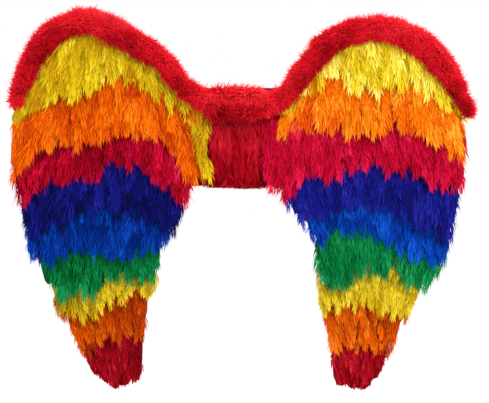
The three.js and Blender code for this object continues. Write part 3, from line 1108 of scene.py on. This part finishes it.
@dataclass
class Fur(DownyPiece):
    """Short down that grows from the whole skin of a node, combed one way and swirled a little."""

    skin_area: float = 1.15e-6
    length: float = 0.0115
    width: float = 0.00045
    sink: float = 0.0103
    lift: float = 0.42
    comb: tuple[float, float, float] = (0.0, 0.0, -0.3)
    swirl: float = 0.7
    swirl_size: float = 0.02
    stray: float = 0.45
    hem: float = 0.004
    tucked: float = 0.0
    before: float = 0.01
    behind: float = 0.0
    streaks: float = 0.0
    # Painted light: strands near the top of the piece are made lighter, fading out over the depth that
    # follows
    painted_top_light: float = 0.0
    painted_top_light_depth: float = 0.05
    # Painted light and shade: lighter on the outer rim, away from the middle the piece curves round, and
    # darker on its inner side
    painted_rim_light: float = 0.0
    fall: float = 0.0
    inner_sink: float = 1.0
    inner_limit: float = 0.2
    length_spread: float = 0.2
    arch: float = 0.7
    face_spread: float = 0.3

    # Wavelengths of the slow changes: in the swirl as shares of its size, and in the locks and shades
    SWIRL_WAVES: ClassVar[tuple[float, ...]] = (2.2, 1.3, 0.7)
    LOCK_WAVES: ClassVar[tuple[float, ...]] = (0.026, 0.015, 0.009)
    TUFT_WAVES: ClassVar[tuple[float, ...]] = (0.03, 0.018, 0.011)
    PATCH_WAVES: ClassVar[tuple[float, ...]] = (0.12, 0.07)
    STREAK_WAVES: ClassVar[tuple[float, ...]] = (0.019, 0.011, 0.007)
    # How far the middle that the piece curves round lies below it
    MIDDLE_DROP: ClassVar[float] = 0.05
    # Shares of the hem's length that single strands and whole locks make up
    HEM_SHARES: ClassVar[tuple[float, float]] = (0.3, 0.7)

    def strands(self, rng: np.random.Generator) -> Curves:
        """Strands from under the skin, out through it and over.

        Args:
            rng: The random numbers.

        Returns:
            The strands.
        """
        points, normals = self.skin(rng)
        count = len(points)
        sizes = tuple(wave * self.swirl_size for wave in self.SWIRL_WAVES)
        swirl = np.stack([drift(points, rng, sizes) for _ in range(3)], axis=-1)
        towards = np.array(self.comb) + self.swirl * swirl + self.stray * rng.standard_normal((count, 3))
        towards -= (towards * normals).sum(-1, keepdims=True) * normals
        ahead = unit(towards + self.lift * normals)
        low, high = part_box(self.node)
        middle = np.array([(low.x + high.x) / 2, 0.0, low.z - self.MIDDLE_DROP])
        outward = (unit((points - middle) * (1, 0, 1)) * normals).sum(-1)
        inner = np.clip(self.inner_limit - outward, 0, 1)
        spread = self.length_spread * rng.standard_normal(count)
        length = (self.length * (1 + self.fall * inner + spread))[:, None]
        sink = self.sink * (1 + (self.inner_sink - 1) * inner)
        root = points - sink[:, None] * normals
        root[:, 2] += self.tucked * np.clip((points[:, 2] - high.z) / self.length + 1, 0, 1)
        locks = 0.5 + 0.5 * drift(points * (1, 0, 0), rng, self.LOCK_WAVES)
        single, whole = self.HEM_SHARES
        lowest = low.z - self.hem * (single * rng.random(count) + whole * np.clip(locks, 0, 1))
        root[:, 2] += np.maximum(0, lowest - (root + length * ahead)[:, 2])
        bend = root + 0.5 * length * unit(ahead + self.arch * normals)
        tip = root + length * ahead
        for place in (root, bend, tip):
            place[:, 1] = np.clip(place[:, 1], low.y - self.before, high.y + self.behind)
        tuft = drift(points, rng, self.TUFT_WAVES)
        patch = drift(points, rng, self.PATCH_WAVES)
        streak = drift(points * (1, 0.3, 0.1), rng, self.STREAK_WAVES)
        shade = 0.5 + self.shade_spread * (patch + 0.5 * tuft + 0.6 * rng.standard_normal(count))
        shade += self.streaks * streak
        # Painted light: lighter towards the top of the piece
        shade += self.painted_top_light * np.clip(1 + (points[:, 2] - high.z) / self.painted_top_light_depth, 0, 1)
        # Painted light and shade: lighter on the outer rim and darker on the inner side, as light falls from
        # above
        shade += self.painted_rim_light * outward
        face = normals + self.face_spread * rng.standard_normal((count, 3))
        width = varied(self.width, count, rng)
        return Curves(root, bend, tip, face, width, shade)

    def skin(self, rng: np.random.Generator) -> tuple[np.ndarray, np.ndarray]:
        """Points spread over the node's skin, without what lies against another piece.

        Args:
            rng: The random numbers.

        Returns:
            The points and their normals.
        """
        mesh = merged_copy(self.node)
        bmesh.ops.triangulate(mesh, faces=mesh.faces)
        mesh.normal_update()
        corners = np.array([[vert.co for vert in face.verts] for face in mesh.faces])
        facing = np.array([face.normal for face in mesh.faces])
        soft = np.array([[vert.normal for vert in face.verts] for face in mesh.faces])
        area = np.array([face.calc_area() for face in mesh.faces])
        mesh.free()
        count = int(area.sum() / self.skin_area)
        order = np.cumsum(area) / area.sum()
        chosen = np.searchsorted(order, (np.arange(count) + rng.random(count)) / count)
        chosen = np.minimum(chosen, len(area) - 1)
        first, second = np.sqrt(rng.random(count)), rng.random(count)
        weights = np.stack([1 - first, first * (1 - second), first * second], axis=-1)[..., None]
        points = (corners[chosen] * weights).sum(1)
        normals = unit((soft[chosen] * weights).sum(1) + 0.3 * facing[chosen])
        trees = [tree_of(cover) for cover in self.covers]
        free = [
            all(tree.ray_cast(Vector(point), Vector(normal), self.length)[0] is None for tree in trees)
            for point, normal in zip(points, normals)
        ]
        return points[free], normals[free]


def placed(name: str, mesh: bpy.types.Mesh, slot: str, *nodes: str) -> bpy.types.Object:
    """Puts a mesh in the scene as a piece of the object.

    Args:
        name: The piece's name.
        mesh: Its mesh, already in place.
        slot: The record's slot for its finish; not used.
        nodes: The nodes that it stands for.

    Returns:
        The piece.
    """
    piece = bpy.data.objects.new(name, mesh)
    bpy.context.scene.collection.objects.link(piece)
    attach(piece, BODY)
    if nodes:
        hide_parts(*nodes)
    return piece


# Boards and loops


@dataclass
class FeltBoard:
    """A cut board covered with felt, with a softened rim."""

    name: str
    node: str
    finish: Felt = RED_FELT
    rim: float = 0.0011
    corner: float = 0.009
    corner_steps: int = 4

    # Edges that turn less than the first, in radians, are flat, and those past the second are corners
    FLAT: ClassVar[float] = 0.02
    SHARP: ClassVar[float] = 0.15

    def build(self) -> bpy.types.Object:
        """Makes the board from its node's outline, with its sharper corners rounded.

        Returns:
            The piece.
        """
        mesh = merged_copy(self.node)
        flat = [edge for edge in mesh.edges if edge.calc_face_angle(0.0) < self.FLAT]
        bmesh.ops.dissolve_edges(mesh, edges=flat, use_verts=True)
        upright = [edge for edge in mesh.edges if self.upright(edge)]
        corners = [edge for edge in upright if edge.calc_face_angle(0.0) > self.SHARP]
        if self.corner > 0:
            bmesh.ops.bevel(
                mesh, geom=corners, offset=self.corner, segments=self.corner_steps, profile=0.5, material=-1,
                affect="EDGES", clamp_overlap=True,
            )
        rims = [edge for edge in mesh.edges if not self.upright(edge)]
        bmesh.ops.bevel(
            mesh, geom=rims, offset=self.rim, segments=2, profile=0.5, material=-1, affect="EDGES"
        )
        bmesh.ops.recalc_face_normals(mesh, faces=mesh.faces)
        made = bpy.data.meshes.new(self.name)
        mesh.to_mesh(made)
        mesh.free()
        made.materials.append(self.finish.material())
        return placed(self.name, made, "felt", self.node)

    @staticmethod
    def upright(edge: bmesh.types.BMEdge) -> bool:
        """Whether an edge goes straight through the board."""
        start, end = edge.verts
        return math.hypot(start.co.x - end.co.x, start.co.z - end.co.z) < 1e-5


@dataclass
class ShoulderLoop:
    """A loop of woven elastic, sewn to the centre board at both ends."""

    side: Side
    finish: Webbing = BLACK_ELASTIC
    steps: int = 96
    rim: float = 0.0005
    width_steps: int = 4
    rays: int = 720
    hub_share: float = 0.4
    evenings: int = 6

    # Edges that turn more than this, in radians, are the band's own
    SHARP: ClassVar[float] = 1.0

    @property
    def node(self) -> str:
        """The loop's node."""
        return f"{self.side.value}_shoulder_strap"

    def line(self) -> np.ndarray:
        """The middle line of the loop, read from its node by rays from the middle of its opening.

        Returns:
            Y and Z of points from the upper sewn end round to the lower one.
        """
        low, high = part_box(self.node)
        tree = tree_of(self.node)
        out = low.y + self.hub_share * (high.y - low.y)
        hub = Vector(((low.x + high.x) / 2, out, (low.z + high.z) / 2))
        found = []
        for step in range(self.rays):
            angle = math.pi - 2 * math.pi * step / self.rays
            aim = Vector((0, math.cos(angle), math.sin(angle)))
            near = tree.ray_cast(hub, aim)[0]
            if near is None:
                continue
            far = tree.ray_cast(hub + aim, -aim)[0]
            middle = (near + far) / 2
            found.append((middle.y, middle.z))
        line = np.array(found)
        for _ in range(self.evenings):
            line[1:-1] = (line[:-2] + 2 * line[1:-1] + line[2:]) / 4
        gone = np.concatenate([[0], np.cumsum(np.linalg.norm(np.diff(line, axis=0), axis=1))])
        even = np.linspace(0, gone[-1], self.steps + 1)
        return np.stack([np.interp(even, gone, line[:, 0]), np.interp(even, gone, line[:, 1])], axis=-1)

    def build(self) -> bpy.types.Object:
        """Makes the loop as a flat grid that is bent along its line and given its thickness.

        Returns:
            The piece.
        """
        low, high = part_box(self.node)
        line = self.line()
        length = float(np.linalg.norm(np.diff(line, axis=0), axis=1).sum())
        ahead = unit(np.gradient(line, axis=0))
        thickness = 2 * (line[0][0] - low.y)
        mesh = bmesh.new()
        mesh.loops.layers.uv.new("UVMap")
        bmesh.ops.create_grid(
            mesh, x_segments=self.steps, y_segments=self.width_steps, size=0.5, calc_uvs=True
        )
        middle, width = (low.x + high.x) / 2, high.x - low.x
        for vert in mesh.verts:
            step = round((vert.co.x + 0.5) * self.steps)
            (y, z), (ahead_y, ahead_z) = line[step], ahead[step]
            across = vert.co.y * width
            vert.co = Vector((middle + across, y - ahead_z * thickness / 2, z + ahead_y * thickness / 2))
        bmesh.ops.recalc_face_normals(mesh, faces=mesh.faces)
        bmesh.ops.solidify(mesh, geom=mesh.faces[:], thickness=thickness)
        edges = [edge for edge in mesh.edges if edge.calc_face_angle(0.0) > self.SHARP]
        bmesh.ops.bevel(
            mesh, geom=edges, offset=self.rim, segments=2, profile=0.5, material=-1, affect="EDGES"
        )
        bmesh.ops.recalc_face_normals(mesh, faces=mesh.faces)
        name = f"{self.side.value}_elastic_loop"
        made = bpy.data.meshes.new(name)
        mesh.to_mesh(made)
        mesh.free()
        made.shade_smooth()
        made.materials.append(self.finish.material(length))
        return placed(name, made, "elastic", self.node)


@dataclass
class Stitching:
    """A line of hand stitches: short rounded threads laid on a face, each sunk a little at its ends."""

    name: str
    finish: Felt
    slot: str
    pitch: float = 0.0062
    length: float = 0.0044
    thread: float = 0.0009

    def build(self, routes: Iterable[Sequence[Vector]]) -> bpy.types.Object:
        """Sews along routes that lie on a face looking towards +Y.

        Args:
            routes: Lines of corner points.

        Returns:
            The piece.
        """
        mesh = bmesh.new()
        for route in routes:
            for start, end in zip(route[:-1], route[1:]):
                run = end - start
                count = max(1, round(run.length / self.pitch))
                for index in range(count):
                    self.stitch(mesh, start + run * (index + 0.5) / count, run.normalized())
        made = bpy.data.meshes.new(self.name)
        mesh.to_mesh(made)
        mesh.free()
        made.shade_smooth()
        made.materials.append(self.finish.material())
        return placed(self.name, made, self.slot)

    def stitch(self, mesh: bmesh.types.BMesh, middle: Vector, ahead: Vector) -> None:
        """Adds one stitch.

        Args:
            mesh: The mesh that it goes into.
            middle: Its middle.
            ahead: Its direction.
        """
        turn = ahead.to_track_quat("Z", "Y").to_matrix().to_4x4()
        scale = Matrix.Diagonal((self.thread, self.thread, self.length / 2, 1.0))
        bmesh.ops.create_uvsphere(
            mesh, u_segments=6, v_segments=5, radius=1.0, matrix=Matrix.Translation(middle) @ turn @ scale
        )


# Assemblies


@dataclass(frozen=True)
class RowFit:
    """How one row of a wing is fitted, with a value for its inner and its outer end where there are two.

    The margins say how far inside the row's ends its last plumes hang. The dips say how far the plumes hang
    below the row's own tips there, over the length dip_reach. The lower edge is evened out over the length
    fill, and the tone makes the row brighter or darker.
    """

    margins: tuple[float, float]
    dips: tuple[float, float] = (0.0, 0.0)
    tone: float = 0.0
    dip_reach: float = 0.03
    fill: float = 0.008


@dataclass
class Wing:
    """One wing: its board, nine rows of plumes and the marabou along its leading edge."""

    side: Side
    plume: Plume = Plume()
    small_plume: Plume = Plume(length=0.036, barb_length=0.0145)
    tip_plume: Plume = Plume(length=0.03, barb_length=0.009, barbs=44)
    straggle: float = 0.012
    small_straggle: float = 0.008

    SEEDS: ClassVar[dict[Side, int]] = {Side.LEFT: 1, Side.RIGHT: 2}
    ROLL_SEED: ClassVar[int] = 100
    # How far the plumes lean away from the seam for each metre down, beside the seam and at the outer side
    LEANS: ClassVar[dict[str, tuple[float, float]]] = {
        "yellow": (-0.12, 0.2),
        "orange": (-0.15, 0.16),
        "crimson": (-0.04, 0.08),
        "navy": (0.08, 0.0),
        "blue": (0.12, -0.08),
        "green": (0.12, -0.18),
        "gold": (0.1, -0.25),
        "amber": (0.1, -0.3),
        "ruby": (0.14, -0.24),
    }
    SMALL: ClassVar[tuple[str, ...]] = ("gold", "amber", "ruby")
    # The lowest row is a dense rounded lobe
    TIP: ClassVar[dict[str, float | tuple[float, float]]] = {
        "fill": 0.006,
        "above": 0.006,
        "down": 0.005,
        "across": 0.003,
        "stragglers": 0.0,
        "loose": (0.4, 0.1),
        "under_rise": -0.02,
        "smoothing": 1,
    }
    # How far the plumes' shafts end above the row's own lower edge, which their barbs reach down to
    RISES: ClassVar[dict[str, float]] = {
        "yellow": 0.0095,
        "orange": 0.008,
        "crimson": 0.005,
        "navy": 0.003,
        "blue": 0.0025,
        "green": -0.0015,
        "gold": 0.008,
        "amber": -0.002,
        "ruby": 0.002,
    }
    # Painted shade: the left wing is made a little darker than the right one, as light falls more on the
    # right
    PAINTED_SIDE_SHADE: ClassVar[dict[Side, float]] = {Side.LEFT: -0.12, Side.RIGHT: 0.05}
    FITS: ClassVar[dict[Side, dict[str, RowFit]]] = {
        Side.LEFT: {
            "yellow": RowFit((0.0045, 0.004), (0.012, 0.0), tone=0.03),
            "orange": RowFit((-0.001, 0.005), (0.006, 0.0)),
            "crimson": RowFit((-0.001, 0.007), (0.004, 0.014)),
            "navy": RowFit((-0.001, 0.006)),
            "blue": RowFit((0.002, 0.005)),
            "green": RowFit((0.004, 0.014)),
            "gold": RowFit((0.003, 0.008), (0.004, 0.003), tone=-0.02),
            "amber": RowFit((0.006, 0.006)),
            "ruby": RowFit((0.004, 0.003), (0.004, 0.0)),
        },
        Side.RIGHT: {
            "yellow": RowFit((-0.005, 0.005), (0.013, 0.004), tone=0.15, dip_reach=0.05),
            "orange": RowFit((-0.003, 0.006), tone=0.04),
            "crimson": RowFit((0.003, 0.005), (-0.005, 0.0), fill=0.013),
            "navy": RowFit((0.004, 0.006)),
            "blue": RowFit((0.002, 0.006)),
            "green": RowFit((0.004, 0.006), (0.0, 0.014)),
            "gold": RowFit((0.003, 0.006), (0.0, 0.003), tone=-0.1),
            "amber": RowFit((0.001, 0.005), (0.0, -0.003)),
            "ruby": RowFit((0.003, 0.003)),
        },
    }

    def build(self) -> list[bpy.types.Object]:
        """Makes the wing's pieces.

        Returns:
            The pieces.
        """
        side = self.side.value
        pieces = [FeltBoard(f"{side}_felt_board", f"{side}_wing_board").build()]
        over = [f"{side}_marabou_trim"]
        nodes = [f"{side}_{colour}_feathers" for colour in DYES]
        outwards = slice(None, None, 1 if self.side is Side.RIGHT else -1)
        for index, ((colour, dye), node) in enumerate(zip(DYES.items(), nodes)):
            inner, outer = self.LEANS[colour]
            fit = self.FITS[self.side][colour]
            small = colour in self.SMALL
            row = FeatherRow(
                name=f"{side}_{colour}_plumes",
                node=node,
                finish=dye,
                covers=tuple(over),
                seed=10 * index + self.SEEDS[self.side],
                plume=self.small_plume if small else self.plume,
                leans=(inner, outer) if self.side is Side.RIGHT else (-outer, -inner),
                margins=fit.margins[outwards],
                dips=fit.dips[outwards],
                dip_reach=fit.dip_reach,
                fill=fit.fill,
                outline=(*nodes, f"{side}_marabou_trim", "centre_fur"),
                straggle=self.small_straggle if small else self.straggle,
                rise=self.RISES[colour],
                # The tone holds the side's painted shade as well as the row's own tone
                tone=self.PAINTED_SIDE_SHADE[self.side] + fit.tone,
            )
            if colour == "ruby":
                row = replace(row, plume=self.tip_plume, **self.TIP)
            pieces.append(row.build())
            over.append(node)
        roll = Fur(
            name=f"{side}_leading_edge",
            node=f"{side}_marabou_trim",
            finish=RED_MARABOU,
            covers=(f"{side}_wing_board",),
            smoothing=1,
            sunk=0.0082,
            sink=0.0112,
            stray=0.38,
            behind=0.0015,
            painted_rim_light=0.24,
            fall=0.25,
            inner_sink=0.5,
            seed=self.ROLL_SEED + self.SEEDS[self.side],
        )
        pieces.append(roll.build())
        return pieces


@dataclass
class Centre:
    """The furry centre between the wings, its board and the loops that are sewn to it."""

    corner: float = 0.014
    stitch_inset: float = 0.005
    tab_seam_inset: float = 0.003
    tab_face: float = 0.0022
    tab_seam_heights: tuple[tuple[float, float], ...] = ((0.032, 0.046), (-0.048, -0.034))

    def build(self) -> list[bpy.types.Object]:
        """Makes the centre's pieces.

        Returns:
            The pieces.
        """
        pile = Fur(
            name="centre_pile",
            node="centre_fur",
            finish=CENTRE_PILE,
            covers=("centre_board",),
            seed=110,
            skin_area=1.0e-6,
            length=0.02,
            sink=0.003,
            lift=0.2,
            comb=(0.02, 0.0, -1.4),
            swirl=0.22,
            stray=0.2,
            tucked=0.014,
            streaks=0.12,
            painted_top_light=0.45,
        )
        roll = Fur(
            name="centre_top_edge",
            node="centre_marabou_trim",
            finish=RED_MARABOU,
            covers=("centre_board",),
            smoothing=1,
            sunk=0.0045,
            sink=0.0076,
            behind=0.0025,
            seed=111,
            skin_area=0.9e-6,
            length=0.0165,
            comb=(0.0, -0.5, -1.2),
            swirl=0.5,
            stray=0.36,
            hem=0.026,
            painted_rim_light=0.3,
            fall=0.7,
        )
        loop_seams = Stitching(
            "loop_stitches", BLACK_THREAD, "elastic", pitch=0.0042, length=0.003, thread=0.0006
        )
        return [
            FeltBoard("centre_felt_board", "centre_board", corner=0.0).build(),
            pile.build(),
            roll.build(),
            *(ShoulderLoop(side).build() for side in Side),
            Stitching("centre_stitches", RED_THREAD, "felt").build([self.seam()]),
            loop_seams.build(self.tab_seams()),
        ]

    def seam(self) -> list[Vector]:
        """The seam round the centre board, which holds it to the two wing boards.

        Returns:
            The corner points of the seam, which ends where it starts.
        """
        low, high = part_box("centre_board")
        radius = self.corner - self.stitch_inset
        points = []
        for corner, (x, z) in enumerate(((1, 1), (-1, 1), (-1, -1), (1, -1))):
            middle = Vector((
                (high.x if x > 0 else low.x) - x * self.corner,
                high.y,
                (high.z if z > 0 else low.z) - z * self.corner,
            ))
            for step in range(4):
                angle = math.radians(90 * corner + 30 * step)
                points.append(middle + radius * Vector((math.cos(angle), 0, math.sin(angle))))
        return points + points[:1]

    def tab_seams(self) -> list[list[Vector]]:
        """A stitched square with a cross in it on each sewn end of the loops.

        Returns:
            The lines of corner points.
        """
        routes = []
        for side in Side:
            low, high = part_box(f"{side.value}_shoulder_strap")
            x_low, x_high = low.x + self.tab_seam_inset, high.x - self.tab_seam_inset
            for z_low, z_high in self.tab_seam_heights:
                a, b, c, d = (
                    Vector((x, self.tab_face, z))
                    for x, z in ((x_low, z_low), (x_high, z_low), (x_high, z_high), (x_low, z_high))
                )
                routes += [[a, b, c, d, a], [a, c], [b, d]]
        return routes


@dataclass
class Studio:
    """A pale floor well below the wings, soft light and the camera of the photograph."""

    floor_drop: float = 0.35
    floor_size: float = 80.0
    distance: float = 1.9
    sensor: float = 36.0

    # Each lamp's name, place, size and power
    LAMPS: ClassVar[tuple[tuple[str, tuple[float, float, float], float, float], ...]] = (
        ("key light", (1.3, -1.9, 1.4), 1.1, 48.0),
        ("fill light", (-1.6, -1.8, 0.4), 1.4, 12.0),
        ("back light", (0.9, 2.2, 1.2), 1.4, 26.0),
    )

    def build(self) -> None:
        """Makes the stage, the lights and the camera."""
        self.camera()
        self.floor()
        self.sky()
        for lamp in self.LAMPS:
            self.lamp(*lamp)
        bpy.context.scene.view_settings.view_transform = "Standard"

    def camera(self) -> None:
        """A long lens, square to the feathered face, that frames it as the photograph does."""
        data = bpy.data.cameras.new("camera")
        data.sensor_width = self.sensor
        data.lens = self.sensor * self.distance / (PHOTO_WIDTH * PIXEL)
        camera = bpy.data.objects.new("camera", data)
        bpy.context.scene.collection.objects.link(camera)
        x = (PHOTO_WIDTH / 2 - ORIGIN_PIXEL[0]) * PIXEL
        z = (ORIGIN_PIXEL[1] - PHOTO_HEIGHT / 2) * PIXEL
        camera.location = (x, -self.distance, z)
        camera.rotation_euler = (math.pi / 2, 0.0, 0.0)
        bpy.context.scene.camera = camera

    def floor(self) -> None:
        """The floor."""
        mesh = bmesh.new()
        bmesh.ops.create_grid(mesh, x_segments=1, y_segments=1, size=self.floor_size / 2)
        bmesh.ops.translate(mesh, verts=mesh.verts, vec=(0, 0, CAD_BOUNDS[0].z - self.floor_drop))
        made = bpy.data.meshes.new("floor")
        mesh.to_mesh(made)
        mesh.free()
        plain = {"Base Color": WHITE, "Roughness": 1.0, "Specular IOR Level": 0.0}
        made.materials.append(Wiring("pale floor").finished(plain))
        floor = bpy.data.objects.new("floor", made)
        bpy.context.scene.collection.objects.link(floor)

    def sky(self) -> None:
        """Even white light from all round."""
        world = bpy.data.worlds.new("studio")
        world.use_nodes = True
        background = world.node_tree.nodes["Background"]
        background.inputs["Color"].default_value = WHITE
        background.inputs["Strength"].default_value = 1.0
        bpy.context.scene.world = world

    def lamp(self, name: str, place: tuple[float, float, float], size: float, power: float) -> None:
        """Adds a square lamp that looks at the middle of the wings.

        Args:
            name: Its name.
            place: Where it stands.
            size: Length of its sides.
            power: Its power, in watts.
        """
        data = bpy.data.lights.new(name, "AREA")
        data.shape = "SQUARE"
        data.size = size
        data.energy = power
        lamp = bpy.data.objects.new(name, data)
        bpy.context.scene.collection.objects.link(lamp)
        lamp.location = place
        middle = (CAD_BOUNDS[0] + CAD_BOUNDS[1]) / 2
        lamp.rotation_euler = (middle - Vector(place)).to_track_quat("-Z", "Y").to_euler()


def main() -> None:
    """Builds the studio and the wings."""
    logging.basicConfig(level=logging.INFO, format="%(name)s: %(message)s")
    Studio().build()
    pieces = Centre().build()
    for side in Side:
        pieces += Wing(side).build()
    total = 0
    for piece in pieces:
        faces = len(piece.data.polygons)
        total += faces
        log.info("%s has %d faces", piece.name, faces)
    log.info("%d pieces have %d faces in all", len(pieces), total)


if __name__ == "__main__":
    main()
